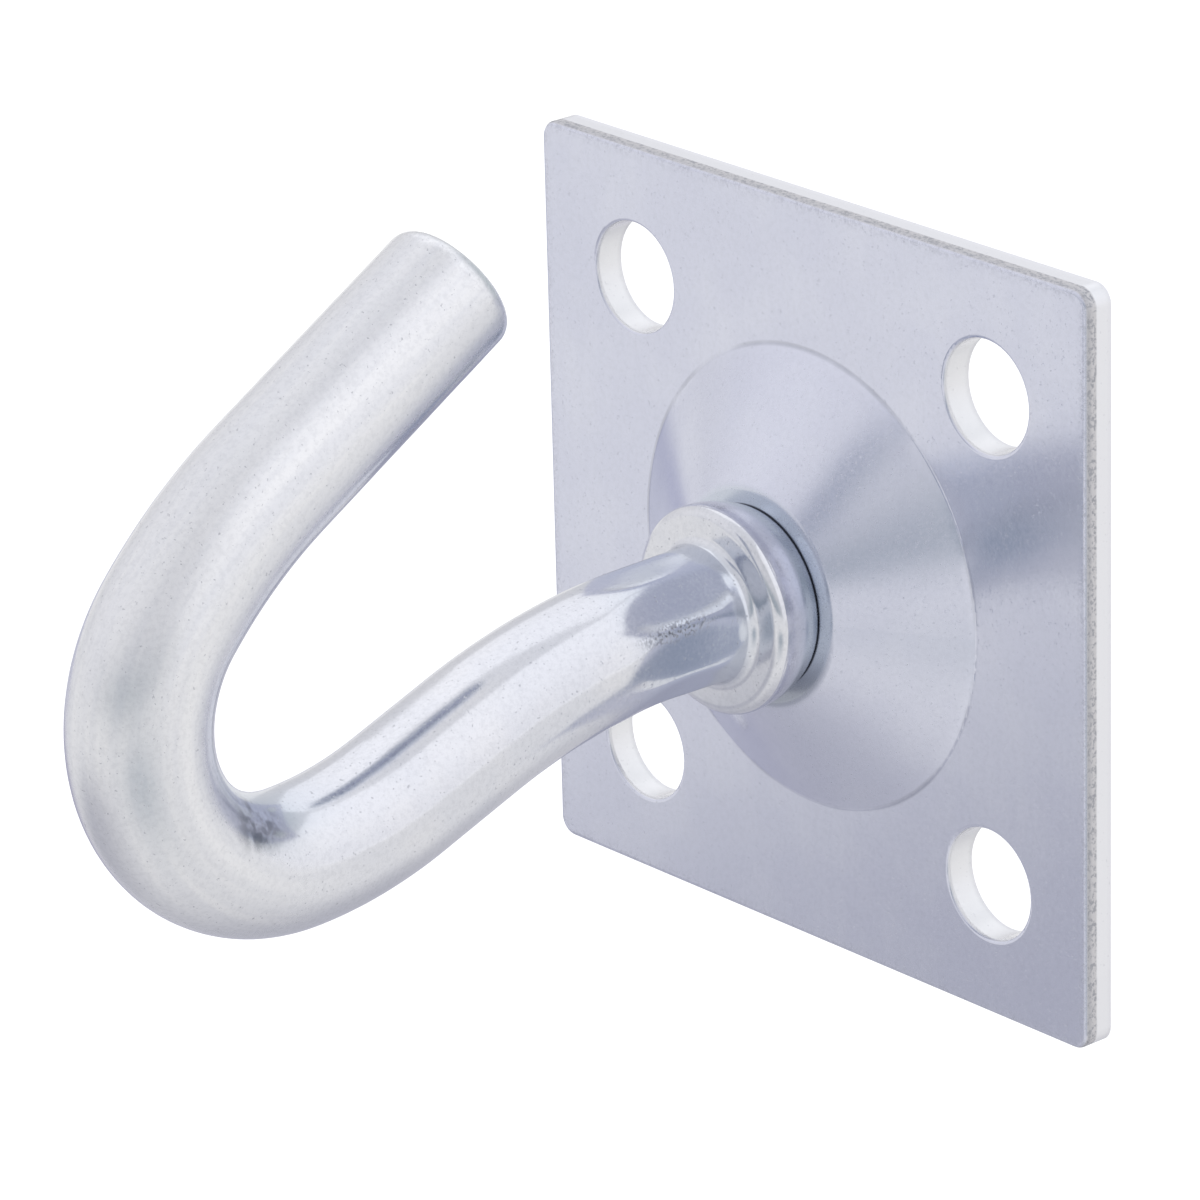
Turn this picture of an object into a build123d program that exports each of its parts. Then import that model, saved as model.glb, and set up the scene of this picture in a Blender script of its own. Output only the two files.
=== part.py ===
"""Clothesline hook: a headed and bent steel bar, riveted to a pressed square wall plate.

Millimetres, +Z up. The origin is the centre of the plate's back, which lies against the wall in the
XZ plane. The hook stands out along -Y and lies in the YZ plane.
"""

import os
from math import atan2, sqrt, tan

from build123d import *

# Wall plate: a square blank, pierced near its corners
plate_side = 45.0
sheet = 1.9
corner_radius = 1.1
front_edge_roll = 0.3
screw_hole_diameter = 6.6
screw_hole_inset = 7.9
screw_hole_roll = 0.25

# Dome drawn up between the holes, with a flat top that the collar seats on
dome_land = 3.55
dome_height = 4.25
seat_margin = 1.1
crease_radius = 0.3
seat_edge_radius = 0.8
hollow_mouth_radius = 1.6

# Bar, and the line of its centre from the collar to the tip
bar_diameter = 8.0
root_run = 3.85
dip_radius = 39.3
dip_angle = 20.4
lower_run = 5.7
entry_radius = 23.3
entry_angle = 19.0
bend_radius = 9.7
bend_angle = 132.0
exit_radius = 29.0
exit_angle = 18.6
tip_run = 15.7
tip_round = 1.1

# Upset collar round the bar
collar_reach = 2.15
collar_taper = 0.75
collar_thickness = 3.6
collar_front_round = 0.7
root_fillet = 0.6

# Flats that the heading dies left round the bar in front of the collar
grip_flats = 8
grip_length = 7.6
grip_depth = 0.3

# Rivet end of the bar: a shank through the dome, peened over in the hollow short of the wall
shank_step = 0.6
shank_clearance = 0.1
rivet_head_margin = 0.5
rivet_recess = 1.75

# Radii of the bar and of what is headed from it
bar_radius = bar_diameter / 2
collar_radius = bar_radius + collar_reach
collar_foot_radius = collar_radius - collar_taper
shank_radius = bar_radius - shank_step
shank_hole_radius = shank_radius + shank_clearance

# The dome reaches to a flat land beside each hole, and its top to a margin round the collar's foot
screw_hole_spacing = plate_side - 2 * screw_hole_inset
screw_hole_radius = screw_hole_diameter / 2
dome_radius = screw_hole_spacing / sqrt(2) - screw_hole_radius - dome_land
seat_radius = collar_foot_radius + seat_margin

# Levels along Y, from the wall to the front
plate_front = -sheet
seat_level = plate_front - dome_height
hollow_level = seat_level + sheet
collar_front = seat_level - collar_thickness
collar_widest = collar_front + collar_front_round
collar_middle = seat_level - collar_thickness / 2
grip_start = collar_front - root_fillet
grip_middle = grip_start - grip_length / 2

# The sheet keeps its thickness through both bends of the dome, so the back of each bend
# lies nearer to the axis than its front by the same shift.
wall_slope = atan2(dome_height, dome_radius - seat_radius)
bend_shift = sheet * tan(wall_slope / 2)
dome_corner = (dome_radius, plate_front)
seat_corner = (seat_radius, seat_level)
mouth_corner = (dome_radius - bend_shift, 0)
hollow_corner = (seat_radius - bend_shift, hollow_level)
rivet_head_radius = seat_radius - bend_shift - rivet_head_margin

os.makedirs("parts", exist_ok=True)


def flat_front(plate):
    """The flat front of the plate, round the dome."""
    return plate.faces().filter_by(Plane.XZ).sort_by_distance((plate_side, -plate_side, 0))[0]


# Wall plate: the drawn sheet is revolved, cut to the square blank and pierced
with BuildPart() as mounting_plate:
    with BuildSketch(Plane.XY) as sheet_section:
        with BuildLine():
            Polyline(
                (shank_hole_radius, hollow_level),
                (shank_hole_radius, seat_level),
                seat_corner,
                dome_corner,
                (plate_side, plate_front),
                (plate_side, 0),
                mouth_corner,
                hollow_corner,
                close=True,
            )
        make_face()
        fillet(sheet_section.vertices().sort_by_distance(dome_corner)[0], crease_radius)
        fillet(sheet_section.vertices().sort_by_distance(seat_corner)[0], seat_edge_radius)
        fillet(sheet_section.vertices().sort_by_distance(hollow_corner)[0], seat_edge_radius)
        fillet(sheet_section.vertices().sort_by_distance(mouth_corner)[0], hollow_mouth_radius)
    revolve(axis=Axis.Y)
    with BuildSketch(Plane.XZ):
        RectangleRounded(plate_side, plate_side, corner_radius)
    extrude(amount=plate_side, both=True, mode=Mode.INTERSECT)
    fillet(flat_front(mounting_plate).outer_wire().edges(), front_edge_roll)
    with BuildSketch(Plane.XZ):
        with GridLocations(screw_hole_spacing, screw_hole_spacing, 2, 2):
            Circle(screw_hole_radius)
    extrude(amount=sheet, mode=Mode.SUBTRACT)
    # The longest loop inside the flat front is the dome's, and the others are the holes
    hole_rims = flat_front(mounting_plate).inner_wires().sort_by(SortBy.LENGTH)[:-1]
    fillet(hole_rims.edges(), screw_hole_roll)
mounting_plate.part.label = "mounting_plate"
export_step(mounting_plate.part, "parts/mounting_plate.step")

# Every flat lies on a plane through the bar's axis, one to each turn
flat_planes = [Plane.YZ.rotated((0, 360 / grip_flats * turn, 0)) for turn in range(grip_flats)]
scoop_radius = (grip_length / 2) ** 2 / (2 * grip_depth) + grip_depth / 2

# Hook: the bar is swept along its bent centre line, then headed at the wall end
with BuildPart() as hook:
    with BuildLine(Plane.YZ) as centre_line:
        root = Line((collar_middle, 0), (collar_front - root_run, 0))
        dip = JernArc(root @ 1, root % 1, dip_radius, dip_angle)
        lower = PolarLine(dip @ 1, lower_run, direction=dip % 1)
        entry = JernArc(lower @ 1, lower % 1, entry_radius, -entry_angle)
        bend = JernArc(entry @ 1, entry % 1, bend_radius, -bend_angle)
        leave = JernArc(bend @ 1, bend % 1, exit_radius, -exit_angle)
        tip = PolarLine(leave @ 1, tip_run, direction=leave % 1)
    with BuildSketch(Plane.XZ.offset(-collar_middle)):
        Circle(bar_radius)
    sweep(path=centre_line.line)
    tip_rim = hook.edges().filter_by(GeomType.CIRCLE).sort_by_distance(tip @ 1)[0]
    fillet(tip_rim, tip_round)
    with BuildSketch(Plane.XY):
        with BuildLine():
            TangentArc((0, -rivet_recess), (rivet_head_radius, hollow_level), tangent=(1, 0))
            Polyline(
                (rivet_head_radius, hollow_level),
                (shank_radius, hollow_level),
                (shank_radius, seat_level),
                (collar_foot_radius, seat_level),
            )
            flank = TangentArc(
                (collar_radius, collar_widest),
                (collar_foot_radius, seat_level),
                tangent=(0, 1),
            )
            JernArc(flank @ 0, (0, -1), collar_front_round, -90)
            Polyline(
                (collar_radius - collar_front_round, collar_front),
                (0, collar_front),
                (0, -rivet_recess),
            )
        make_face()
    revolve(axis=Axis.Y)
    bar_root = hook.edges().filter_by(GeomType.CIRCLE).sort_by_distance((0, collar_front, 0))[0]
    fillet(bar_root, root_fillet)
    # Each flat is a shallow scoop across the bar, kept to its outer half and clear of the collar
    with BuildSketch(*flat_planes):
        with Locations((grip_middle, bar_radius - grip_depth + scoop_radius)):
            Circle(scoop_radius)
        with Locations((grip_start, bar_radius)):
            Rectangle(2 * grip_length, bar_radius, align=(Align.MAX, Align.CENTER), mode=Mode.INTERSECT)
    extrude(amount=bar_radius, both=True, mode=Mode.SUBTRACT)
hook.part.label = "hook"
export_step(hook.part, "parts/hook.step")
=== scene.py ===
"""Dresses the clothesline hook: a swept zinc plated bar, the plate's finish and a white studio."""

from math import asin, cos, pi, radians, sin, tau

import bpy
from bpy.props import FloatProperty, FloatVectorProperty, IntProperty, PointerProperty
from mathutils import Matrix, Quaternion, Vector


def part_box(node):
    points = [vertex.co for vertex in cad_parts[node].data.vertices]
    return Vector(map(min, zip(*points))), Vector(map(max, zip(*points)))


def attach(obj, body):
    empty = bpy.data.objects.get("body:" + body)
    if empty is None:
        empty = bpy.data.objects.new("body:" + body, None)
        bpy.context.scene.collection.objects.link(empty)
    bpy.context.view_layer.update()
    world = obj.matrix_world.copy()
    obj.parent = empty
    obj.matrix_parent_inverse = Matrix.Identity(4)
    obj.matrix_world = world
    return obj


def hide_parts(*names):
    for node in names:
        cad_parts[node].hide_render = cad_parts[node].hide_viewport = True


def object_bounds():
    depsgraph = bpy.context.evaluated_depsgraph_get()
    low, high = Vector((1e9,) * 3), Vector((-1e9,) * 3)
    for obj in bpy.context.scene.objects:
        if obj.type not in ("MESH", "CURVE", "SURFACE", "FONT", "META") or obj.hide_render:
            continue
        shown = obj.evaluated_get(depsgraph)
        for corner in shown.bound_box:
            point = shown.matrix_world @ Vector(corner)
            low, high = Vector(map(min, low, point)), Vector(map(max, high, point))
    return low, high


bl_info = {
    "name": "Clothesline Hook",
    "version": (1, 0, 0),
    "blender": (4, 5, 0),
    "location": "View3D > Sidebar > Hook",
    "description": "Sweeps the hook's bar and gives the hook and its wall plate their zinc finish",
    "category": "Object",
}

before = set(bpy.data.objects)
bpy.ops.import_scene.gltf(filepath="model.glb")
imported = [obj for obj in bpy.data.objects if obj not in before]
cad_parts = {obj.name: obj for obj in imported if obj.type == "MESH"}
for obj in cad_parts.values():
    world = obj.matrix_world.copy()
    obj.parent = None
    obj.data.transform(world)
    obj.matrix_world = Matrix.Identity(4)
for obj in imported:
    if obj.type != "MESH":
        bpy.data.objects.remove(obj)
cad_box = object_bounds()
hook_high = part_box("hook")[1]
plate_low, plate_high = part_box("mounting_plate")

MM = 0.001
WHITE = (1.0, 1.0, 1.0)

# Levels and radii of the plate, which the finish follows
CORNER_RADIUS = 1.1 * MM
DOME_HEIGHT = 4.25 * MM
DOME_RADIUS = 13.8 * MM
SEAT_RADIUS = 6.5 * MM
COLLAR_FOOT = 5.4 * MM
HOLE_PLACE = 14.6 * MM
HOLE_RADIUS = 3.3 * MM

# Zones of the plate fade in over a stretch in millimetres from their border. Nothing of the zone
# shows at the first number, and all of it at the second.
SIDE_FADE = (-0.12, -0.02)
RIM_FADE = (-0.9, 0.0)
LIP_FADE = (0.5, 0.25)
DOME_FADE = (0.0, -0.8)
CREASE_FADE = (0.22, 0.05)
CREASE_DEPTH_FADE = (0.8, 0.4)
RAISED_FADE = (1.0, 0.5)
SEAT_FADE = (0.3, -0.4)
SEAT_SHADE_FADE = (-1.5, -4.5)
GAP_FADE = (0.14, 0.02)
BACK_FADE = (-0.4, -0.1)
# A pierced wall fades in over hole radii, and the torn band over shares of its own depth
HOLE_FADE = (1.035, 1.005)
TORN_FADE = (1.0, 0.8)
# The lip of the torn band is at least this dark: a painted shade line along the front edge, with torn
# specks over it
LIP_LEAST = 0.4

# Zones of the bar: across it from its middle and ahead of the plate, both in millimetres
STRETCHED_FADE = (-2.6, -0.6)
# The inside of the bend, the collar's foot and the bar in front of the collar are darkened with painted
# shade
SQUEEZED_FADE = (-2.0, -3.6)
CREVICE_FADE = (2.6, 1.2)
NECK_START_FADE = (3.4, 4.4)
NECK_END_FADE = (14.0, 8.0)
# Zones along the bar, in shares of its length
BEND_FADE = (0.40, 0.54)
TIP_ROUND_FADE = (0.982, 0.99)
TIP_FACE_FADE = (0.995, 0.999)
# Marks on the bar: folds where the bend was pressed, and a scuffed ridge where the dies gripped.
# Each fades in over its own reach.
BEND_MARK = (2.9 * MM, -44.6 * MM, -1.7 * MM)
BEND_MARK_REACH = (2.4 * MM, 2.8 * MM, 2.2 * MM)
BEND_MARK_FADE = (1.0, 0.3)
GRIP_MARK = (3.6 * MM, -15.2 * MM, 1.35 * MM)
GRIP_MARK_REACH = (0.8 * MM, 3.6 * MM, 0.75 * MM)
GRIP_MARK_FADE = (1.0, 0.2)

# Bands of the noise over which each pattern of the plating sets in
BLOOM_BAND = (0.35, 0.65)
STREAK_BAND = (0.3, 0.7)
GRAIN_BAND = (0.3, 0.7)
PIT_BAND = (0.66, 0.73)
SPECK_BAND = (0.47, 0.6)
MOTTLE_BAND = (0.42, 0.66)
FOLD_BAND = (0.38, 0.6)
# Streaks are drawn out along the last axis
ROLLED = (1.0, 1.0, 0.08)
DRAWN = (1.0, 1.0, 0.05)
# How far along itself a surface is seen where its gloss starts to change, and where it has changed
SHEET_GLOSS_BAND = (0.6, 0.82)
BEND_DULL_BAND = (0.95, 0.55)

# Rings over each rounded form of the bar, and over the flat of its tip as shares of that flat
HEAD_RINGS = 16
FLANK_RINGS = 10
ROUND_RINGS = 8
TIP_RINGS = 10
TIP_FLAT_RINGS = (0.75, 0.5, 0.25, 0.0)
# Rings at one station stand a hair apart, and the weld is finer than that
RING_HAIR = 1e-6
WELD_GAP = 1e-7
SHARP_ANGLE = radians(32.0)

# Pools of shade that the metal mirrors on the floor: how far each lies to the right and to the back
# and its reach, in millimetres, and the property that holds its shade
FLOOR_POOLS = (
    (-70.0, -132.0, 108.0, "near_shade"),
    (-76.0, -78.0, 66.0, "near_shade"),
    (-30.0, 5.0, 110.0, "near_shade"),
    (-165.0, 50.0, 155.0, "back_shade"),
    (-380.0, 60.0, 240.0, "far_shade"),
    (150.0, -160.0, 140.0, "front_shade"),
)
POOL_FADE = (1.0, 0.15)
# Patches of the surroundings: azimuth and elevation in degrees, and how tightly each keeps together
WINDOW_PATCH = (-50.0, 22.0, 5.0)
ROOM_PATCH = (30.0, 5.0, 4.0)
WALL_PATCH = (180.0, 10.0, 8.0)
GAP_PATCH = (45.0, 52.0, 9.0)
GAP_STRENGTH = 0.5
# Heights over which the sky brightens and the room fades, as the rise of the direction
SKY_RISE = (0.0, 0.95)
ROOM_RISE = (0.38, 0.08)
LAMP_DISTANCE = 1.0
# The camera sees from this share of its distance onwards
CLIP_SHARE = 0.01


# Properties


def length(name, description, millimetres):
    """A length property, given in millimetres and kept in metres."""
    return FloatProperty(
        name=name,
        description=description,
        default=millimetres * MM,
        unit="LENGTH",
        subtype="DISTANCE",
        precision=5,
    )


def angle(name, description, degrees):
    """An angle property, given in degrees and kept in radians."""
    return FloatProperty(
        name=name,
        description=description,
        default=radians(degrees),
        unit="ROTATION",
        subtype="ANGLE",
    )


def share(name, description, value):
    """A property between nothing and all."""
    return FloatProperty(
        name=name, description=description, default=value, min=0.0, max=1.0, subtype="FACTOR"
    )


def colour(name, description, value):
    """A colour property, in linear light."""
    return FloatVectorProperty(
        name=name, description=description, default=value, min=0.0, max=1.0, size=3, subtype="COLOR"
    )


class HookSizes(bpy.types.PropertyGroup):
    """Sizes of the headed and bent bar."""

    bar_diameter: length("Bar diameter", "Thickness of the round bar", 8.0)
    rivet_head_radius: length("Rivet head radius", "Reach of the peened head in the hollow", 5.487)
    rivet_head_height: length("Rivet head height", "Height of the peened head", 2.5)
    shank_radius: length("Shank radius", "Radius of the shank through the plate", 3.4)
    shank_length: length("Shank length", "Length of the shank through the sheet", 1.9)
    collar_taper: length("Collar taper", "How far the collar draws in to its foot", 0.75)
    collar_thickness: length("Collar thickness", "Length of the collar along the bar", 3.6)
    collar_round: length("Collar round", "Rounding of the collar's front edge", 0.7)
    root_fillet: length("Root fillet", "Fillet between the collar and the bar", 0.6)
    root_run: length("Root run", "Straight bar in front of the collar", 3.85)
    dip_radius: length("Dip radius", "Radius of the first bend, downwards", 39.3)
    dip_angle: angle("Dip angle", "Turn of the first bend", 20.4)
    lower_run: length("Lower run", "Straight bar after the dip", 5.7)
    entry_radius: length("Entry radius", "Radius where the bend begins", 23.3)
    entry_angle: angle("Entry angle", "Turn where the bend begins", 19.0)
    bend_radius: length("Bend radius", "Radius of the hook's bend", 9.7)
    bend_angle: angle("Bend angle", "Turn of the hook's bend", 132.0)
    exit_radius: length("Exit radius", "Radius where the bend ends", 29.0)
    exit_angle: angle("Exit angle", "Turn where the bend ends", 18.6)
    tip_run: length("Tip run", "Straight bar up to the tip", 15.7)
    tip_round: length("Tip round", "Rounding of the cut tip", 1.1)
    grip_flats: IntProperty(name="Grip flats", description="Flats left by the heading dies", default=8)
    grip_length: length("Grip length", "Length of a grip flat", 7.6)
    grip_depth: length("Grip depth", "Depth of a grip flat at its middle", 0.3)
    grip_blend: length("Grip blend", "Softness of a grip flat's border", 0.3)
    sides: IntProperty(name="Sides", description="Points round the bar", default=96)
    ring_gap: length("Ring gap", "Distance between rings along the bar", 0.3)
    ripple: length("Ripple", "Depth of the uneven skin that bending leaves", 0.02)
    ripple_size: length("Ripple size", "Size of the waves in that skin", 2.5)


class ZincFinish:
    """Values that both zinc finishes share."""

    bloom_size: length("Bloom size", "Size of the clouds in the plating", 6.0)
    mottle_size: length("Mottle size", "Size of the crystals' fine mottle", 0.3)
    streak_width: length("Streak width", "Width of the streaks left by rolling or drawing", 0.9)
    grain_size: length("Grain size", "Size of the plating's grain", 0.2)
    grain_depth: length("Grain depth", "Height of the plating's grain", 0.0012)
    pit_size: length("Pit size", "Spacing of the pits", 0.22)
    pit_depth: length("Pit depth", "Depth of the pits", 0.006)
    wave_size: length("Wave size", "Size of the slow waves in the surface", 4.0)
    wave_depth: length("Wave depth", "Height of the slow waves in the surface", 0.006)
    pit_colour: colour("Pit colour", "Grey of the pits", (0.30, 0.31, 0.35))
    scuff_colour: colour("Scuff colour", "Dark of the scuffed marks", (0.10, 0.105, 0.12))
    # Painted shade: the grey-blue taken by the seat round the collar, the collar's foot, the bar in
    # front of the collar and the inside of the bend
    shade_colour: colour("Crevice colour", "Dull zinc under the collar", (0.62, 0.66, 0.74))
    # Painted shade: the dark line where the collar meets the plate, and the seat below the collar
    gap_shade_colour: colour("Gap colour", "Dark line where the collar meets the plate", (0.14, 0.15, 0.18))
    cut_colour: colour("Cut colour", "Brighter zinc on sheared and cut edges", (0.85, 0.85, 0.87))


class PlateFinish(ZincFinish, bpy.types.PropertyGroup):
    """Zinc on the pressed sheet, with a bluish passivation film."""

    zinc_colour: colour("Zinc colour", "Bare zinc", (0.70, 0.715, 0.81))
    film_colour: colour("Film colour", "Zinc under a thicker film", (0.665, 0.68, 0.785))
    roughness: share("Roughness", "Mean roughness of the plating", 0.18)
    roughness_spread: share("Roughness spread", "Change of roughness over the surface", 0.05)
    drawn_roughness: share("Drawn roughness", "Mean roughness where drawing stretched the dome", 0.25)
    cut_roughness: share("Cut roughness", "Mean roughness of sheared and pierced walls", 0.42)
    back_roughness: share("Back roughness", "Mean roughness of the back, which the wall hides", 0.36)
    edge_colour: colour("Edge colour", "Smooth band along the blanked edge", (0.84, 0.84, 0.87))
    shear_colour: colour("Shear colour", "Torn band along the blanked edge", (0.62, 0.61, 0.63))
    shear_depth: length("Shear depth", "Width of the torn band along the blanked edge", 0.85)
    streak_share: share("Streak share", "How far rolling streaks tint the sheet", 0.4)
    mottle_share: share("Mottle share", "How far the mottle greys the sheet", 0.06)
    pit_share: share("Pit share", "How far the pits grey the sheet", 0.15)
    # Painted shade in the dome's crease
    crease_shade_share: share("Crease share", "How far the dome's crease is greyed", 0.4)
    # Painted shade on the seat below the collar
    seat_shade_share: share("Seat share", "How far the seat is darkened below the collar", 0.5)
    torn_share: share("Torn share", "How far the torn specks are greyed", 0.75)
    rim_specks: share("Rim specks", "How far torn specks spread over the front's rim", 0.35)
    rim_dulling: share("Rim dulling", "How far the front's rim is dulled", 0.4)
    glancing_share: share("Glancing share", "Roughness that is left at a glancing look", 0.45)


class BarFinish(ZincFinish, bpy.types.PropertyGroup):
    """Zinc on the drawn bar, more neutral than the plate."""

    zinc_colour: colour("Zinc colour", "Bare zinc", (0.755, 0.757, 0.79))
    film_colour: colour("Film colour", "Zinc under a thicker film", (0.70, 0.71, 0.76))
    roughness: share("Roughness", "Mean roughness where the bar stays straight", 0.15)
    bent_roughness: share("Bent roughness", "Mean roughness where bending stretched the bar", 0.34)
    roughness_spread: share("Roughness spread", "Change of roughness over the surface", 0.06)
    bent_colour: colour("Bent colour", "Zinc on the stretched side of the bend", (0.84, 0.84, 0.86))
    fold_size: length("Fold size", "Size of the folds inside the bend", 0.9)
    fold_share: share("Fold share", "How strong the folds are", 0.8)
    streak_share: share("Streak share", "How far drawing streaks tint the bar", 0.5)
    mottle_share: share("Mottle share", "How far the mottle greys the bar", 0.12)
    pit_share: share("Pit share", "How far the pits grey the bar", 0.5)
    mark_share: share("Mark share", "How dark the marks are", 0.75)
    # Painted shade on the collar's foot, next to the plate
    foot_shade_share: share("Crevice share", "How dull the collar is at its foot", 0.6)
    # Painted shade on the bar in front of the collar
    neck_shade_share: share("Neck share", "How dull the bar is in front of the collar", 0.8)
    tip_specks: share("Tip specks", "How far specks spread round the cut tip", 0.12)


class Studio(bpy.types.PropertyGroup):
    """White studio round the hook."""

    floor_drop: length("Floor drop", "Distance from the plate's lower edge to the floor", 60.0)
    floor_side: length("Floor side", "Side of the square floor", 6000.0)
    floor_colour: colour("Floor colour", "Colour of the floor", (0.80, 0.80, 0.80))
    floor_lift: share("Floor lift", "Light that only the camera sees on the floor", 0.40)
    floor_tone: colour("Floor tone", "Floor as the metal mirrors it", (0.94, 0.94, 0.94))
    near_shade: colour(
        "Near shade", "Floor under the hook, as the metal mirrors it", (0.57, 0.575, 0.625)
    )
    back_shade: colour(
        "Back shade", "Floor behind the hook, as the metal mirrors it", (0.40, 0.395, 0.515)
    )
    front_shade: colour(
        "Front shade", "Floor to the front right, as the metal mirrors it", (0.50, 0.55, 0.60)
    )
    far_shade: colour("Far shade", "Floor to the left, as the metal mirrors it", (0.56, 0.57, 0.69))
    low_sky: colour("Low sky", "Surroundings at the horizon", (0.77, 0.77, 0.79))
    high_sky: colour("High sky", "Surroundings overhead", (0.91, 0.92, 0.95))
    room: colour("Room", "Dim room behind the camera", (0.40, 0.455, 0.50))
    wall: colour("Wall", "Dim wall behind the plate", (0.56, 0.62, 0.65))
    gap: colour("Gap", "Dim gap overhead, above the camera", (0.58, 0.58, 0.60))
    window: colour("Window", "Bright opening to the left", (0.97, 0.97, 0.99))
    target: FloatVectorProperty(
        name="Target",
        description="Point that the camera looks at",
        default=(0.0, -17.681 * MM, 2.922 * MM),
        size=3,
        subtype="TRANSLATION",
        unit="LENGTH",
    )
    distance: length("Distance", "Distance from the camera to its target", 416.1)
    azimuth: angle("Azimuth", "Turn of the camera round the hook, from the front", 49.336)
    elevation: angle("Elevation", "Height of the camera above the level", 21.120)
    roll: angle("Roll", "Turn of the camera about its own axis", -1.488)
    lens: FloatProperty(name="Lens", description="Focal length", default=224.11, unit="CAMERA")
    sensor: FloatProperty(name="Sensor", description="Sensor width", default=36.0, unit="CAMERA")


# Node trees


class Graph:
    """Adds nodes to a tree. An input given as a socket is linked, and any other value is set."""

    def __init__(self, tree):
        self.tree = tree

    def add(self, kind, inputs=None, **settings):
        """A new node with its settings and inputs."""
        node = self.tree.nodes.new(kind)
        for key, value in settings.items():
            setattr(node, key, value)
        for key, value in (inputs or {}).items():
            self.feed(node.inputs[key], value)
        return node

    def feed(self, socket, value):
        """Links or sets one input."""
        if isinstance(value, bpy.types.NodeSocket):
            self.tree.links.new(value, socket)
        else:
            socket.default_value = value

    def math(self, operation, first, second=0.0, third=0.0):
        """The result of one sum."""
        inputs = {0: first, 1: second, 2: third}
        return self.add("ShaderNodeMath", inputs, operation=operation).outputs[0]

    def vector(self, operation, first, second=(0.0, 0.0, 0.0), scale=1.0):
        """The result of one sum of vectors."""
        inputs = {0: first, 1: second, 3: scale}
        return self.add("ShaderNodeVectorMath", inputs, operation=operation).outputs[0]

    def span(self, value, low, high, to_low=0.0, to_high=1.0):
        """The value carried over smoothly from one span to another, and held at its ends."""
        inputs = {0: value, 1: low, 2: high, 3: to_low, 4: to_high}
        node = self.add("ShaderNodeMapRange", inputs, interpolation_type="SMOOTHSTEP")
        return node.outputs[0]

    def fade(self, value, border, stretch):
        """None to all over a stretch that is given in millimetres from a border."""
        start, full = stretch
        return self.span(value, border + start * MM, border + full * MM)

    def noise(self, place, size, detail=2.0, roughness=0.5):
        """Cloudy noise with features of the given size."""
        inputs = {"Vector": place, "Scale": 1.0 / size, "Detail": detail, "Roughness": roughness}
        return self.add("ShaderNodeTexNoise", inputs).outputs["Fac"]

    def split(self, vector):
        """The three parts of a vector."""
        return self.add("ShaderNodeSeparateXYZ", {0: vector}).outputs

    def size(self, vector):
        """How long a vector is."""
        return self.add("ShaderNodeVectorMath", {0: vector}, operation="LENGTH").outputs["Value"]

    def away(self, place, middle, reach):
        """Distance from a point, counted in reaches along each axis."""
        return self.size(self.vector("DIVIDE", self.vector("SUBTRACT", place, middle), reach))

    def chain(self, operation, values):
        """Several values taken together by one operation."""
        result = values[0]
        for value in values[1:]:
            result = self.math(operation, result, value)
        return result

    def total(self, *values):
        """Several values added up."""
        return self.chain("ADD", values)

    def product(self, *values):
        """Several values multiplied."""
        return self.chain("MULTIPLY", values)

    def most(self, *values):
        """The largest of several values."""
        return self.chain("MAXIMUM", values)

    def bump(self, layers):
        """A normal bent by each layer of height in turn."""
        normal = None
        for height, depth in layers:
            inputs = {"Height": height, "Distance": depth}
            if normal:
                inputs["Normal"] = normal
            normal = self.add("ShaderNodeBump", inputs).outputs[0]
        return normal

    def glancing(self):
        """How far the surface is seen along itself, where a dull skin turns glossier."""
        return self.add("ShaderNodeLayerWeight", {"Blend": 0.5}).outputs["Facing"]

    def blend(self, factor, first, second):
        """Two colours mixed."""
        first = (*first, 1.0) if not isinstance(first, bpy.types.NodeSocket) else first
        second = (*second, 1.0) if not isinstance(second, bpy.types.NodeSocket) else second
        return self.add("ShaderNodeMix", {0: factor, 6: first, 7: second}, data_type="RGBA").outputs[2]

    def coats(self, base, layers):
        """A colour with others laid over it in turn, each by its own factor."""
        for factor, tint in layers:
            base = self.blend(factor, base, tint)
        return base


# Finishes


def new_material(name):
    """An empty node material and its graph."""
    material = bpy.data.materials.new(name)
    material.use_nodes = True
    material.node_tree.nodes.clear()
    return material, Graph(material.node_tree)


class ZincLayers:
    """The plating's patterns, as sockets: clouds, streaks, grain, pits, waves, specks and mottle."""

    def __init__(self, graph, finish, place, along):
        clouds = graph.noise(place, finish.bloom_size, detail=3.0)
        lines = graph.noise(along, finish.streak_width, detail=3.0, roughness=0.6)
        hollows = graph.noise(place, finish.pit_size, detail=2.0, roughness=0.6)
        dots = graph.noise(place, finish.grain_size, detail=3.0, roughness=0.7)
        crystals = graph.noise(place, finish.mottle_size, detail=4.0, roughness=0.7)
        self.bloom = graph.span(clouds, *BLOOM_BAND)
        self.streaks = graph.span(lines, *STREAK_BAND)
        self.pits = graph.span(hollows, *PIT_BAND)
        self.specks = graph.span(dots, *SPECK_BAND)
        self.mottle = graph.span(crystals, *MOTTLE_BAND)
        self.grain = graph.noise(place, finish.grain_size, detail=2.0)
        self.waves = graph.noise(place, finish.wave_size, detail=1.0)


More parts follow.
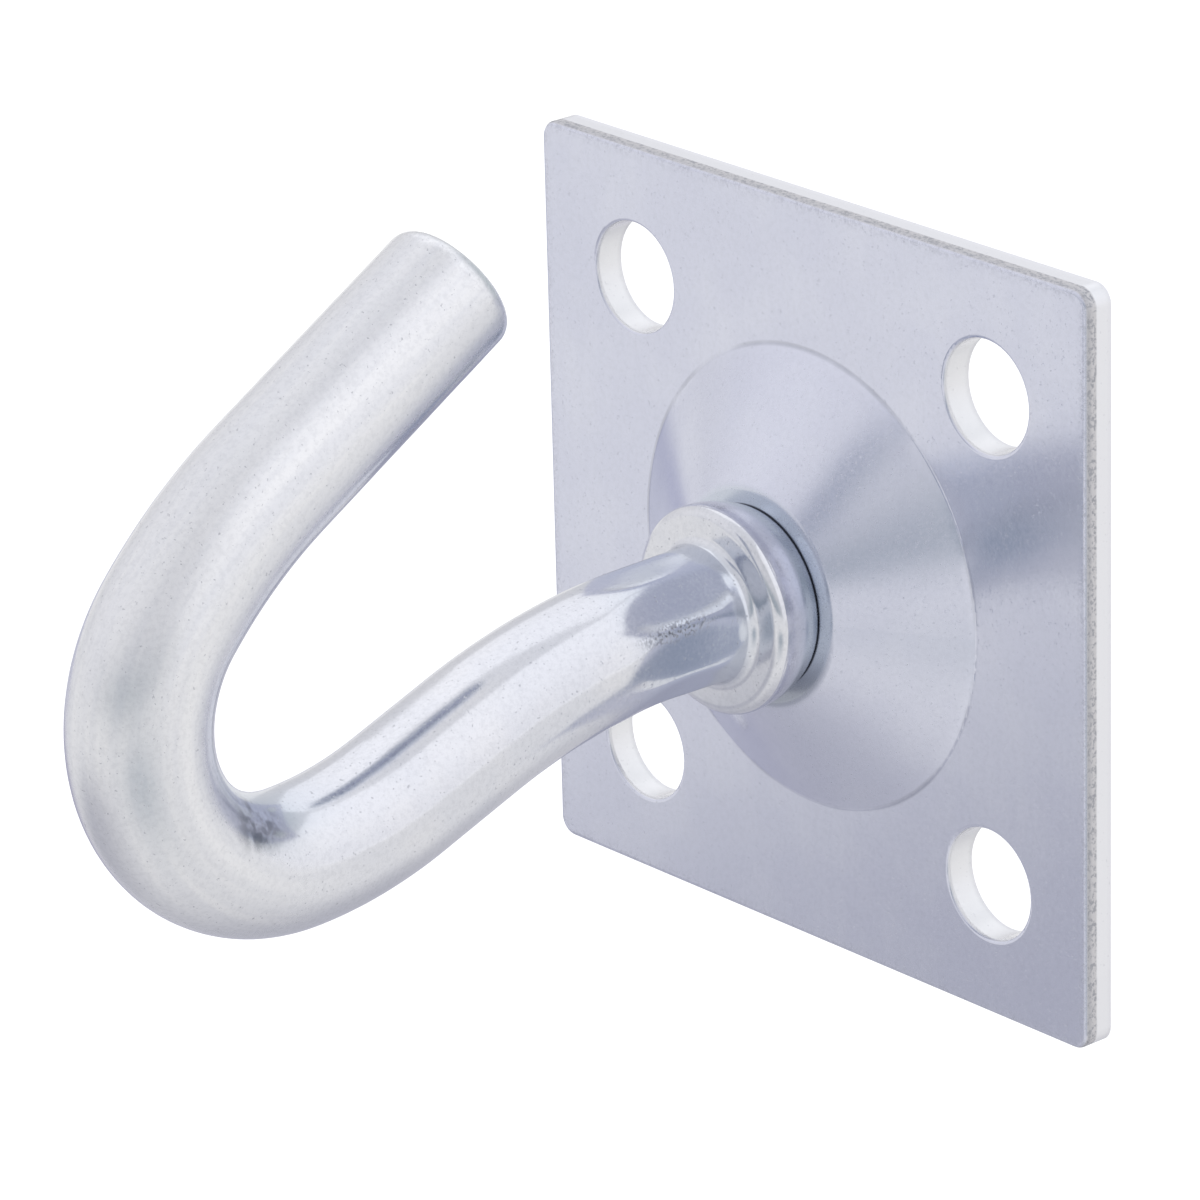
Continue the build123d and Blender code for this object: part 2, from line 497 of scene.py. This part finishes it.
class PlateZones:
    """Where the plate's zones lie, as sockets from none to all."""

    def __init__(self, graph, finish, place):
        depth = graph.split(place)["Y"]
        height = graph.split(place)["Z"]
        front = plate_low.y + DOME_HEIGHT
        # The plate laid flat, and its quarters folded onto one
        folded = graph.vector("ABSOLUTE", graph.vector("MULTIPLY", place, (1.0, 0.0, 1.0)))
        # Distance outwards over the blank's last stretch, which is as wide as its corner radius
        inset = plate_high.x - CORNER_RADIUS
        beyond = graph.vector("MAXIMUM", graph.vector("SUBTRACT", folded, (inset, 0.0, inset)))
        edge = graph.size(beyond)
        self.side = graph.fade(edge, CORNER_RADIUS, SIDE_FADE)
        self.rim = graph.fade(edge, CORNER_RADIUS, RIM_FADE)
        # The lip along the front edge of the sides, darkened by torn specks and by a painted shade line
        self.lip = graph.product(self.side, graph.fade(depth, front, LIP_FADE))
        self.torn = graph.span(depth, *(front + part * finish.shear_depth for part in TORN_FADE))
        hole = graph.away(folded, (HOLE_PLACE, 0.0, HOLE_PLACE), (HOLE_RADIUS, 1.0, HOLE_RADIUS))
        self.pierced = graph.span(hole, *HOLE_FADE)
        # Distance from the plate's middle
        ring = graph.size(folded)
        self.dome = graph.fade(ring, DOME_RADIUS, DOME_FADE)
        # The dome's crease, which the finish darkens with painted shade
        aside = graph.math("ABSOLUTE", graph.math("SUBTRACT", ring, DOME_RADIUS))
        foot = graph.fade(depth, front, CREASE_DEPTH_FADE)
        self.crease = graph.product(graph.fade(aside, 0.0, CREASE_FADE), foot)
        # The seat round the collar, its lower part and the collar's foot, which the finish darkens with
        # painted shade
        raised = graph.fade(depth, plate_low.y, RAISED_FADE)
        self.seat = graph.product(raised, graph.fade(ring, SEAT_RADIUS, SEAT_FADE))
        self.shaded = graph.product(self.seat, graph.fade(height, 0.0, SEAT_SHADE_FADE))
        self.gap = graph.product(raised, graph.fade(ring, COLLAR_FOOT, GAP_FADE))
        self.behind = graph.fade(depth, plate_high.y, BACK_FADE)


def zinc_shader(graph, base, roughness, normal):
    """Ends a finish in its metal shader."""
    shader = graph.add(
        "ShaderNodeBsdfPrincipled",
        {"Base Color": base, "Metallic": 1.0, "Roughness": roughness, "Normal": normal},
    )
    graph.add("ShaderNodeOutputMaterial", {"Surface": shader.outputs[0]})


def plate_zinc(finish):
    """Zinc on the plate: rolled sheet, a dull drawn dome, torn edges and bright pierced walls."""
    material, graph = new_material("zinc_sheet")
    place = graph.add("ShaderNodeTexCoord").outputs["Object"]
    zinc = ZincLayers(graph, finish, place, graph.vector("MULTIPLY", place, ROLLED))
    zone = PlateZones(graph, finish, place)
    speckled = graph.most(zone.side, graph.product(zone.rim, finish.rim_specks))
    # The lip's torn specks, over a painted shade line that stays at least LIP_LEAST dark
    lip = graph.product(zone.lip, graph.span(zinc.specks, 0.0, 1.0, LIP_LEAST, 1.0))
    ruffled = graph.most(graph.product(zinc.specks, zone.torn, speckled), lip)
    base = graph.coats(
        graph.blend(zinc.bloom, finish.zinc_colour, finish.film_colour),
        (
            (graph.product(zinc.streaks, finish.streak_share), finish.film_colour),
            (graph.product(zinc.mottle, finish.mottle_share), finish.pit_colour),
            # Painted shade in the dome's crease, patchy with the clouds
            (graph.product(zone.crease, zinc.bloom, finish.crease_shade_share), finish.pit_colour),
            (zone.pierced, finish.cut_colour),
            (zone.side, finish.edge_colour),
            (graph.product(zone.side, zone.torn), finish.shear_colour),
            # Painted shade: the seat round the collar, darker still below it, and a dark line at the
            # collar's foot
            (zone.seat, finish.shade_colour),
            (graph.product(zone.shaded, finish.seat_shade_share), finish.gap_shade_colour),
            (zone.gap, finish.gap_shade_colour),
            (graph.product(zinc.pits, finish.pit_share), finish.pit_colour),
            (graph.product(ruffled, finish.torn_share), finish.pit_colour),
        ),
    )
    spread = finish.roughness_spread / 2
    dull = graph.most(zone.side, zone.pierced, graph.product(zone.rim, finish.rim_dulling))
    rough = graph.total(
        graph.span(zone.dome, 0.0, 1.0, finish.roughness, finish.drawn_roughness),
        graph.span(zinc.grain, *GRAIN_BAND, -spread, spread),
        graph.product(dull, finish.cut_roughness - finish.roughness),
    )
    kept = graph.span(graph.glancing(), *SHEET_GLOSS_BAND, 1.0, finish.glancing_share)
    back = graph.product(zone.behind, finish.back_roughness - finish.roughness)
    normal = graph.bump(
        (
            (zinc.waves, finish.wave_depth),
            (zinc.grain, finish.grain_depth),
            (zinc.pits, -finish.pit_depth),
            (ruffled, -finish.pit_depth),
        )
    )
    zinc_shader(graph, base, graph.total(graph.product(rough, kept), back), normal)
    return material


def bar_zinc(finish):
    """Zinc on the bar: drawn streaks, a dull stretched bend, and marks left by the dies."""
    material, graph = new_material("zinc_bar")
    place = graph.add("ShaderNodeTexCoord").outputs["Object"]
    skin = graph.add("ShaderNodeAttribute", attribute_name="bar_place").outputs["Vector"]
    along = graph.add("ShaderNodeAttribute", attribute_name="bar_along").outputs["Fac"]
    zinc = ZincLayers(graph, finish, place, graph.vector("MULTIPLY", skin, DRAWN))
    # Across the bar, from the inner side of its bend to the outer
    across = graph.split(skin)["Y"]
    curved = graph.span(along, *BEND_FADE)
    bent = graph.product(curved, graph.fade(across, 0.0, STRETCHED_FADE))
    # The inside of the bend takes the painted shade colour
    squeezed = graph.product(curved, graph.fade(across, 0.0, SQUEEZED_FADE))
    # Painted shade: a dark line where the collar meets the plate, and shade on the collar's foot and on
    # the bar in front of the collar
    ahead = graph.math("SUBTRACT", plate_low.y, graph.split(place)["Y"])
    gap = graph.fade(graph.math("ABSOLUTE", ahead), 0.0, GAP_FADE)
    crevice = graph.product(graph.fade(ahead, 0.0, CREVICE_FADE), finish.foot_shade_share)
    neck_start = graph.fade(ahead, 0.0, NECK_START_FADE)
    neck_end = graph.fade(ahead, 0.0, NECK_END_FADE)
    neck = graph.product(neck_end, neck_start, finish.neck_shade_share)
    ridge = graph.span(graph.away(place, GRIP_MARK, GRIP_MARK_REACH), *GRIP_MARK_FADE)
    tip_edge = graph.product(graph.span(along, *TIP_ROUND_FADE), finish.tip_specks)
    scuffs = graph.product(zinc.specks, graph.math("MINIMUM", graph.total(ridge, tip_edge), 1.0))
    pressed = graph.span(graph.away(place, BEND_MARK, BEND_MARK_REACH), *BEND_MARK_FADE)
    folds = graph.span(graph.noise(place, finish.fold_size), *FOLD_BAND)
    marked = graph.most(scuffs, graph.product(pressed, folds, finish.fold_share))
    base = graph.coats(
        graph.blend(zinc.bloom, finish.zinc_colour, finish.film_colour),
        (
            (bent, finish.bent_colour),
            (graph.product(zinc.streaks, finish.streak_share), finish.film_colour),
            (graph.product(zinc.mottle, finish.mottle_share), finish.pit_colour),
            # Painted shade inside the bend, on the collar's foot and in front of the collar, and a
            # painted shade line at the plate
            (graph.most(squeezed, crevice, neck), finish.shade_colour),
            (gap, finish.gap_shade_colour),
            (graph.span(along, *TIP_FACE_FADE), finish.cut_colour),
            (graph.product(zinc.pits, finish.pit_share), finish.pit_colour),
            (graph.product(marked, finish.mark_share), finish.scuff_colour),
        ),
    )
    spread = finish.roughness_spread / 2
    dull = graph.product(bent, graph.span(graph.glancing(), *BEND_DULL_BAND))
    rough = graph.total(
        graph.span(dull, 0.0, 1.0, finish.roughness, finish.bent_roughness),
        graph.span(zinc.grain, *GRAIN_BAND, -spread, spread),
    )
    normal = graph.bump(
        (
            (zinc.waves, finish.wave_depth),
            (zinc.streaks, finish.grain_depth),
            (zinc.grain, finish.grain_depth),
            (zinc.pits, -finish.pit_depth),
            (marked, -finish.pit_depth),
        )
    )
    zinc_shader(graph, base, rough, normal)
    return material


# Hook


def arc(start, end, steps):
    """Evenly spaced angles from start to end."""
    return [start + (end - start) * step / steps for step in range(steps + 1)]


class BarLine:
    """Centre line of the bar in the YZ plane: straight runs and arcs, from the rivet's top outwards."""

    def __init__(self, start):
        self.end = Vector((0.0, start, 0.0))
        self.heading = 0.0
        self.total = 0.0
        self.stretches = []

    def run(self, distance):
        """Goes straight on."""
        self.stretches.append((self.total, self.end, self.heading, 0.0))
        self.advance(distance)

    def turn(self, radius, amount):
        """Goes round an arc, upwards for a positive amount."""
        bend = (1 if amount > 0 else -1) / radius
        self.stretches.append((self.total, self.end, self.heading, bend))
        self.advance(radius * abs(amount))

    def advance(self, distance):
        """Moves the end of the line along its last stretch."""
        place, heading = self.at(self.total + distance)
        self.total += distance
        self.end = place
        self.heading = heading

    def at(self, station):
        """Place and heading at a distance along the line."""
        reached = [stretch for stretch in self.stretches if stretch[0] <= max(station, 0.0)]
        began, place, heading, bend = reached[-1]
        gone = station - began
        if bend == 0.0:
            return place + gone * Vector((0.0, -cos(heading), sin(heading))), heading
        later = heading + bend * gone
        along = (sin(later) - sin(heading)) / bend
        up = (cos(heading) - cos(later)) / bend
        return place + Vector((0.0, -along, up)), later


def bar_line(sizes):
    """The bent centre line of the hook."""
    line = BarLine(hook_high.y)
    line.run(sizes.rivet_head_height + sizes.shank_length + sizes.collar_thickness + sizes.root_run)
    line.turn(sizes.dip_radius, -sizes.dip_angle)
    line.run(sizes.lower_run)
    line.turn(sizes.entry_radius, sizes.entry_angle)
    line.turn(sizes.bend_radius, sizes.bend_angle)
    line.turn(sizes.exit_radius, sizes.exit_angle)
    line.run(sizes.tip_run)
    return line


def headed_rings(sizes):
    """Station and radius of each ring from the rivet's top to the end of the root fillet."""
    bar = sizes.bar_diameter / 2
    collar = hook_high.x
    foot = collar - sizes.collar_taper
    under_head = sizes.rivet_head_height
    seat = under_head + sizes.shank_length
    front = seat + sizes.collar_thickness
    widest = front - sizes.collar_round
    flank = widest - seat
    head_ball = (under_head**2 + sizes.rivet_head_radius**2) / (2 * under_head)
    flank_arc = (flank**2 + sizes.collar_taper**2) / (2 * sizes.collar_taper)
    rings = [
        (head_ball * (1 - cos(t)), head_ball * sin(t))
        for t in arc(0.0, asin(sizes.rivet_head_radius / head_ball), HEAD_RINGS)
    ]
    rings += [(under_head, sizes.shank_radius), (seat, sizes.shank_radius)]
    rings += [
        (widest - flank_arc * sin(t), collar - flank_arc * (1 - cos(t)))
        for t in arc(asin(flank / flank_arc), 0.0, FLANK_RINGS)
    ]
    rings += [
        (widest + sizes.collar_round * sin(t), collar - sizes.collar_round * (1 - cos(t)))
        for t in arc(0.0, pi / 2, ROUND_RINGS)
    ]
    rings += [
        (front + sizes.root_fillet * (1 - cos(t)), bar + sizes.root_fillet * (1 - sin(t)))
        for t in arc(0.0, pi / 2, ROUND_RINGS)
    ]
    return rings


def tip_rings(sizes, total):
    """Station and radius of each ring round the cut tip."""
    bar = sizes.bar_diameter / 2
    flat = bar - sizes.tip_round
    rings = [
        (total - sizes.tip_round * (1 - sin(t)), bar - sizes.tip_round * (1 - cos(t)))
        for t in arc(0.0, pi / 2, TIP_RINGS)
    ]
    return rings + [(total, flat * part) for part in TIP_FLAT_RINGS]


def bar_rings(sizes, line):
    """Station and radius of every ring of the hook, in order along its line."""
    rings = headed_rings(sizes)
    start = rings[-1][0]
    finish = line.total - sizes.tip_round
    count = round((finish - start) / sizes.ring_gap)
    rings += [(station, sizes.bar_diameter / 2) for station in arc(start, finish, count)[1:-1]]
    return rings + tip_rings(sizes, line.total)


def bar_curve(sizes):
    """The centre line as a curve that holds the bar's radius at each ring."""
    line = bar_line(sizes)
    rings = bar_rings(sizes, line)
    curve = bpy.data.curves.new("hook_line", "CURVE")
    curve.dimensions = "3D"
    spline = curve.splines.new("POLY")
    spline.points.add(len(rings) - 1)
    last = -RING_HAIR
    for point, (station, radius) in zip(spline.points, rings):
        last = max(station, last + RING_HAIR)
        point.co = (*line.at(last)[0], 1.0)
        point.radius = radius
    return curve


def sweep_sizes(sizes):
    """Named inputs of the sweep's tree, and their values."""
    front = sizes.rivet_head_height + sizes.shank_length + sizes.collar_thickness
    grip_start = front + sizes.root_fillet
    return {
        "Sides": sizes.sides,
        "Bar Radius": sizes.bar_diameter / 2,
        "Length": bar_line(sizes).total,
        "Flats": float(sizes.grip_flats),
        "Flat Start": grip_start,
        "Flat Middle": grip_start + sizes.grip_length / 2,
        "Flat Depth": sizes.grip_depth,
        "Flat Blend": sizes.grip_blend,
        "Scoop Radius": (sizes.grip_length / 2) ** 2 / (2 * sizes.grip_depth) + sizes.grip_depth / 2,
        "Ripple": sizes.ripple,
        "Ripple Size": sizes.ripple_size,
    }


def pressed_reach(graph, given, station, turn):
    """How far the bar reaches from its axis where the dies pressed flats into it."""
    off = graph.math("SUBTRACT", station, given["Flat Middle"])
    scoop = given["Scoop Radius"]
    chord = graph.math("SUBTRACT", graph.math("POWER", scoop, 2.0), graph.math("POWER", off, 2.0))
    sagitta = graph.math("SUBTRACT", scoop, graph.math("SQRT", graph.most(chord, 0.0)))
    deepest = graph.math("SUBTRACT", given["Bar Radius"], given["Flat Depth"])
    height = graph.total(deepest, sagitta)
    # The nearest flat lies within half a flat's turn to either side
    within = graph.math("FRACT", graph.math("MULTIPLY_ADD", turn, given["Flats"], 0.5))
    slant = graph.math("DIVIDE", graph.math("SUBTRACT", within, 0.5), given["Flats"])
    reach = graph.math("DIVIDE", height, graph.math("COSINE", graph.product(slant, tau)))
    return graph.math("SMOOTH_MIN", reach, given["Bar Radius"], given["Flat Blend"])


def sweep_tree(sizes):
    """Geometry Nodes tree that sweeps the bar along its line and presses the grip flats."""
    tree = bpy.data.node_groups.new("hook_sweep", "GeometryNodeTree")
    face = tree.interface
    face.new_socket("Geometry", in_out="INPUT", socket_type="NodeSocketGeometry")
    face.new_socket("Geometry", in_out="OUTPUT", socket_type="NodeSocketGeometry")
    for name, value in sweep_sizes(sizes).items():
        kind = "NodeSocketInt" if isinstance(value, int) else "NodeSocketFloat"
        face.new_socket(name, in_out="INPUT", socket_type=kind).default_value = value
    face.new_socket("Finish", in_out="INPUT", socket_type="NodeSocketMaterial")
    graph = Graph(tree)
    given = graph.add("NodeGroupInput").outputs
    line = graph.add("GeometryNodeCaptureAttribute", {"Geometry": given["Geometry"]})
    line.capture_items.new("FLOAT", "Station")
    line.capture_items.new("VECTOR", "Centre")
    graph.feed(line.inputs["Station"], graph.add("GeometryNodeSplineParameter").outputs["Length"])
    graph.feed(line.inputs["Centre"], graph.add("GeometryNodeInputPosition").outputs[0])
    station = line.outputs["Station"]
    ring = graph.add("GeometryNodeCurvePrimitiveCircle", {"Resolution": given["Sides"], "Radius": 1.0})
    profile = graph.add("GeometryNodeCaptureAttribute", {"Geometry": ring.outputs["Curve"]})
    profile.capture_items.new("FLOAT", "Turn")
    graph.feed(profile.inputs["Turn"], graph.add("GeometryNodeSplineParameter").outputs["Factor"])
    turn = profile.outputs["Turn"]
    swept = graph.add(
        "GeometryNodeCurveToMesh",
        {
            "Curve": line.outputs["Geometry"],
            "Profile Curve": profile.outputs["Geometry"],
            "Scale": graph.add("GeometryNodeInputRadius").outputs[0],
        },
    )
    # The flats are pressed into the bar beyond the collar
    beyond = graph.math("GREATER_THAN", station, given["Flat Start"])
    reach = pressed_reach(graph, given, station, turn)
    pressed = graph.math("SUBTRACT", graph.math("DIVIDE", reach, given["Bar Radius"]), 1.0)
    position = graph.add("GeometryNodeInputPosition").outputs[0]
    arm = graph.vector("SUBTRACT", position, line.outputs["Centre"])
    flat = graph.vector("SCALE", arm, scale=graph.product(pressed, beyond))
    flattened = graph.add("GeometryNodeSetPosition", {"Geometry": swept.outputs[0], "Offset": flat})
    # The skin sinks unevenly there, and never stands out
    ripples = graph.noise(position, 1.0)
    graph.feed(ripples.node.inputs["Scale"], graph.math("DIVIDE", 1.0, given["Ripple Size"]))
    depth = graph.product(ripples, given["Ripple"], -1.0)
    normal = graph.add("GeometryNodeInputNormal").outputs[0]
    sunk = graph.vector("SCALE", normal, scale=graph.product(depth, beyond))
    rippled = graph.add("GeometryNodeSetPosition", {"Geometry": flattened.outputs[0], "Offset": sunk})
    # Place on the bar's skin and share of its length, for a finish that follows the bar
    spun = graph.product(turn, tau)
    skin = graph.add(
        "ShaderNodeCombineXYZ",
        {
            0: graph.product(graph.math("COSINE", spun), given["Bar Radius"]),
            1: graph.product(graph.math("SINE", spun), given["Bar Radius"]),
            2: station,
        },
    )
    placed = graph.add(
        "GeometryNodeStoreNamedAttribute",
        {"Geometry": rippled.outputs[0], "Name": "bar_place", "Value": skin.outputs[0]},
        data_type="FLOAT_VECTOR",
    )
    along = graph.math("DIVIDE", station, given["Length"])
    measured = graph.add(
        "GeometryNodeStoreNamedAttribute",
        {"Geometry": placed.outputs[0], "Name": "bar_along", "Value": along},
    )
    welded = graph.add(
        "GeometryNodeMergeByDistance", {"Geometry": measured.outputs[0], "Distance": WELD_GAP}
    )
    smooth = graph.add("GeometryNodeSetShadeSmooth", {"Geometry": welded.outputs[0]})
    real = graph.add("GeometryNodeRealizeInstances", {"Geometry": smooth.outputs[0]})
    done = graph.add(
        "GeometryNodeSetMaterial", {"Geometry": real.outputs[0], "Material": given["Finish"]}
    )
    graph.add("NodeGroupOutput", {"Geometry": done.outputs[0]})
    return tree


def set_input(modifier, name, value):
    """Sets one input of a Geometry Nodes modifier by its socket's identifier."""
    for item in modifier.node_group.interface.items_tree:
        if item.in_out == "INPUT" and item.name == name:
            modifier[item.identifier] = value
            return
    raise RuntimeError(f"the tree has no input named {name}")


class CLOTHESLINE_OT_sweep_hook(bpy.types.Operator):
    """Sweeps the hook along its bent line, with its collar, rivet and grip flats"""

    bl_idname = "clothesline.sweep_hook"
    bl_label = "Sweep Hook"

    def execute(self, context):
        sizes = context.scene.hook_sizes
        finish = bar_zinc(context.scene.bar_finish)
        source = bpy.data.objects.new("hook_source", bar_curve(sizes))
        context.scene.collection.objects.link(source)
        modifier = source.modifiers.new("Sweep", "NODES")
        modifier.node_group = sweep_tree(sizes)
        set_input(modifier, "Finish", finish)
        graph = context.evaluated_depsgraph_get()
        mesh = bpy.data.meshes.new_from_object(source.evaluated_get(graph))
        source.modifiers.clear()
        bpy.data.objects.remove(source)
        if len(mesh.polygons) == 0:
            raise RuntimeError("the hook's sweep gave no faces")
        mesh.name = "hook_bar"
        mesh.set_sharp_from_angle(angle=SHARP_ANGLE)
        bar = bpy.data.objects.new("hook_bar", mesh)
        context.scene.collection.objects.link(bar)
        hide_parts("hook")
        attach(bar, "root")
        return {"FINISHED"}


class CLOTHESLINE_OT_dress_plate(bpy.types.Operator):
    """Gives the wall plate its zinc finish"""

    bl_idname = "clothesline.dress_plate"
    bl_label = "Dress Plate"

    def execute(self, context):
        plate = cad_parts["mounting_plate"]
        finish = plate_zinc(context.scene.plate_finish)
        for slot in plate.material_slots:
            slot.material = finish
        return {"FINISHED"}


# Studio


def outlook(azimuth, elevation):
    """Direction from the hook, turned from the front and raised above the level."""
    return Vector((sin(azimuth) * cos(elevation), -cos(azimuth) * cos(elevation), sin(elevation)))


def white_floor(studio):
    """A wide floor: white to the camera, and a pale tone with soft shade to the metal."""
    material, graph = new_material("floor_white")
    rays = graph.add("ShaderNodeLightPath").outputs
    matt = graph.add("ShaderNodeBsdfDiffuse", {"Color": (*studio.floor_colour, 1.0)})
    lift = graph.add(
        "ShaderNodeEmission", {"Strength": graph.product(rays["Is Camera Ray"], studio.floor_lift)}
    )
    seen = graph.add("ShaderNodeAddShader", {0: matt.outputs[0], 1: lift.outputs[0]})
    place = graph.add("ShaderNodeTexCoord").outputs["Object"]
    level = cad_box[0].z - studio.floor_drop
    tone = studio.floor_tone
    for east, north, reach, shade in FLOOR_POOLS:
        away = graph.away(place, (east * MM, north * MM, level), (reach * MM, reach * MM, 1.0))
        tone = graph.blend(graph.span(away, *POOL_FADE), tone, getattr(studio, shade))
    mirrored = graph.add("ShaderNodeEmission", {"Color": tone})
    both = graph.add(
        "ShaderNodeMixShader",
        {0: rays["Is Glossy Ray"], 1: seen.outputs[0], 2: mirrored.outputs[0]},
    )
    graph.add("ShaderNodeOutputMaterial", {"Surface": both.outputs[0]})
    half = studio.floor_side / 2
    mesh = bpy.data.meshes.new("floor")
    ends = ((-half, -half), (half, -half), (half, half), (-half, half))
    corners = [(east, north, level) for east, north in ends]
    mesh.from_pydata(corners, [], [(0, 1, 2, 3)])
    mesh.materials.append(material)
    return bpy.data.objects.new("floor", mesh)


def patch(graph, direction, azimuth, elevation, sharpness):
    """A soft round patch of the surroundings: one at its middle, fading outwards."""
    inputs = {0: direction, 1: outlook(radians(azimuth), radians(elevation))}
    nearness = graph.add("ShaderNodeVectorMath", inputs, operation="DOT_PRODUCT").outputs["Value"]
    return graph.math("EXPONENT", graph.product(graph.math("SUBTRACT", nearness, 1.0), sharpness))


def white_world(studio):
    """Soft surroundings, dimmer behind the camera and the plate, and white to the camera."""
    world = bpy.data.worlds.new("studio")
    world.use_nodes = True
    world.node_tree.nodes.clear()
    graph = Graph(world.node_tree)
    direction = graph.add("ShaderNodeTexCoord").outputs["Generated"]
    height = graph.split(direction)["Z"]
    room = graph.product(patch(graph, direction, *ROOM_PATCH), graph.span(height, *ROOM_RISE))
    sky = graph.coats(
        graph.blend(graph.span(height, *SKY_RISE), studio.low_sky, studio.high_sky),
        (
            (patch(graph, direction, *WINDOW_PATCH), studio.window),
            (room, studio.room),
            (patch(graph, direction, *WALL_PATCH), studio.wall),
            (graph.product(patch(graph, direction, *GAP_PATCH), GAP_STRENGTH), studio.gap),
        ),
    )
    seen = graph.add("ShaderNodeLightPath").outputs["Is Camera Ray"]
    shown = graph.blend(seen, sky, WHITE)
    background = graph.add("ShaderNodeBackground", {"Color": shown})
    graph.add("ShaderNodeOutputWorld", {"Surface": background.outputs[0]})
    return world


def soft_box(name, azimuth, elevation, side, radiance):
    """A square area lamp that looks at the hook from a direction given in degrees."""
    lamp = bpy.data.lights.new(name, "AREA")
    lamp.shape = "SQUARE"
    lamp.size = side
    lamp.energy = radiance * pi * side**2
    holder = bpy.data.objects.new(name, lamp)
    back = outlook(radians(azimuth), radians(elevation))
    holder.location = (cad_box[0] + cad_box[1]) / 2 + back * LAMP_DISTANCE
    holder.rotation_euler = (-back).to_track_quat("-Z", "Y").to_euler()
    return holder


def photo_camera(studio):
    """A camera at the photograph's view."""
    data = bpy.data.cameras.new("camera")
    data.lens = studio.lens
    data.sensor_width = studio.sensor
    data.clip_start = studio.distance * CLIP_SHARE
    data.clip_end = 2 * studio.floor_side
    camera = bpy.data.objects.new("camera", data)
    back = outlook(studio.azimuth, studio.elevation)
    camera.location = Vector(studio.target) + back * studio.distance
    aim = (-back).to_track_quat("-Z", "Y") @ Quaternion((0.0, 0.0, 1.0), studio.roll)
    camera.rotation_euler = aim.to_euler()
    return camera


class CLOTHESLINE_OT_set_stage(bpy.types.Operator):
    """Sets up the floor, the surroundings, the lamps and the camera"""

    bl_idname = "clothesline.set_stage"
    bl_label = "Set Stage"

    def execute(self, context):
        scene = context.scene
        studio = scene.studio
        floor = white_floor(studio)
        camera = photo_camera(studio)
        lamps = [
            soft_box("lamp_over_left", azimuth=-135.0, elevation=50.0, side=0.9, radiance=0.28),
            soft_box("lamp_right", azimuth=114.0, elevation=34.0, side=1.5, radiance=0.29),
        ]
        for item in (floor, camera, *lamps):
            scene.collection.objects.link(item)
        scene.camera = camera
        scene.world = white_world(studio)
        scene.view_settings.view_transform = "Standard"
        return {"FINISHED"}


class CLOTHESLINE_PT_hook(bpy.types.Panel):
    """Lists the steps that dress the hook"""

    bl_idname = "CLOTHESLINE_PT_hook"
    bl_label = "Clothesline Hook"
    bl_space_type = "VIEW_3D"
    bl_region_type = "UI"
    bl_category = "Hook"

    def draw(self, context):
        for operator in OPERATORS:
            self.layout.operator(operator.bl_idname)


OPERATORS = (CLOTHESLINE_OT_dress_plate, CLOTHESLINE_OT_sweep_hook, CLOTHESLINE_OT_set_stage)
GROUPS = {
    "hook_sizes": HookSizes,
    "plate_finish": PlateFinish,
    "bar_finish": BarFinish,
    "studio": Studio,
}


def register():
    """Registers the classes and hangs the properties on the scene."""
    for group in GROUPS.values():
        bpy.utils.register_class(group)
    for name, group in GROUPS.items():
        setattr(bpy.types.Scene, name, PointerProperty(type=group))
    for operator in OPERATORS:
        bpy.utils.register_class(operator)
    bpy.utils.register_class(CLOTHESLINE_PT_hook)


def unregister():
    """Takes back what register did."""
    bpy.utils.unregister_class(CLOTHESLINE_PT_hook)
    for operator in reversed(OPERATORS):
        bpy.utils.unregister_class(operator)
    for name in GROUPS:
        delattr(bpy.types.Scene, name)
    for group in reversed(GROUPS.values()):
        bpy.utils.unregister_class(group)


def main():
    """Dresses the hook."""
    register()
    bpy.ops.clothesline.dress_plate()
    bpy.ops.clothesline.sweep_hook()
    bpy.ops.clothesline.set_stage()


if __name__ == "__main__":
    main()
